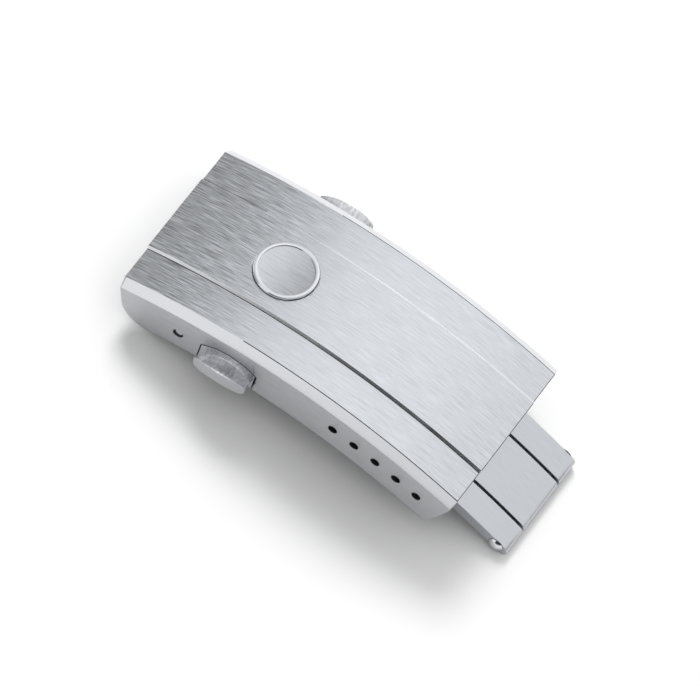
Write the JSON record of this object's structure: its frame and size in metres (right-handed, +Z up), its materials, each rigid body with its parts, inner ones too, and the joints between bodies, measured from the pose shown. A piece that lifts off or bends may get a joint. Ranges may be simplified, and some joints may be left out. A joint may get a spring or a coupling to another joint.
{
  "type": "folding bracelet clasp",
  "caption": "Curved steel fold-over clasp for a watch bracelet, with a raised centre band, folding blades, spring-bar adjustment holes and push buttons in its side walls.",
  "frame": {"origin": "middle of the closed clasp's box on the surface that it stands on", "axes": "+X along the bracelet from the lug end to the adjustable end, +Y across it, +Z up, out of the cover"},
  "size_m": [0.046, 0.0242, 0.0099],
  "materials": {
    "satin_steel": "satin, brushed lengthwise",
    "polished_steel": "mirror polished",
    "plain_steel": "fine ground, dull",
    "spring_steel": "drawn spring wire"
  },
  "bodies": {
    "cover": {"cover": "satin_steel", "badge": "polished_steel", "cover_hinge_pin": "polished_steel", "latch_housing": "plain_steel", "housing_screws": "plain_steel", "guide_pins": "polished_steel", "button_springs_near": "spring_steel", "button_springs_far": "spring_steel"},
    "centre_blade": {"centre_blade": "satin_steel"},
    "fork_blade": {"fork_blade": "satin_steel", "blade_hinge_pin": "polished_steel", "blade_hinge_cap": "polished_steel", "catch_near": "plain_steel", "catch_far": "plain_steel", "strand_lug": "satin_steel", "strand_lug_rivets": "plain_steel"},
    "near_button": {"push_button_near": "polished_steel", "latch_pawl_near": "plain_steel", "pawl_rivet_near": "plain_steel"},
    "far_button": {"push_button_far": "polished_steel", "latch_pawl_far": "plain_steel", "pawl_rivet_far": "plain_steel"}
  },
  "joints": [
    {"name": "cover_hinge", "type": "hinge", "parent": "cover", "child": "centre_blade", "pos_m": [-0.01543, 0, 0.00407], "axis": [0, 1, 0], "range_deg": [0, 165]},
    {"name": "blade_hinge", "type": "hinge", "parent": "centre_blade", "child": "fork_blade", "pos_m": [0.02162, 0, 0.00092], "axis": [0, 1, 0], "range_deg": [-165, 0]},
    {"name": "near_button_press", "type": "slide", "parent": "cover", "child": "near_button", "axis": [0, 1, 0], "range_m": [0, 0.0008], "stiffness_N_per_m": 1500, "springref_m": -0.0006, "deforming": ["button_springs_near"]},
    {"name": "far_button_press", "type": "slide", "parent": "cover", "child": "far_button", "axis": [0, -1, 0], "range_m": [0, 0.0008], "stiffness_N_per_m": 1500, "springref_m": -0.0006, "deforming": ["button_springs_far"]}
  ],
  "couplings": [
    {"joint": "blade_hinge", "follows": "cover_hinge", "ratio": -1}
  ]
}
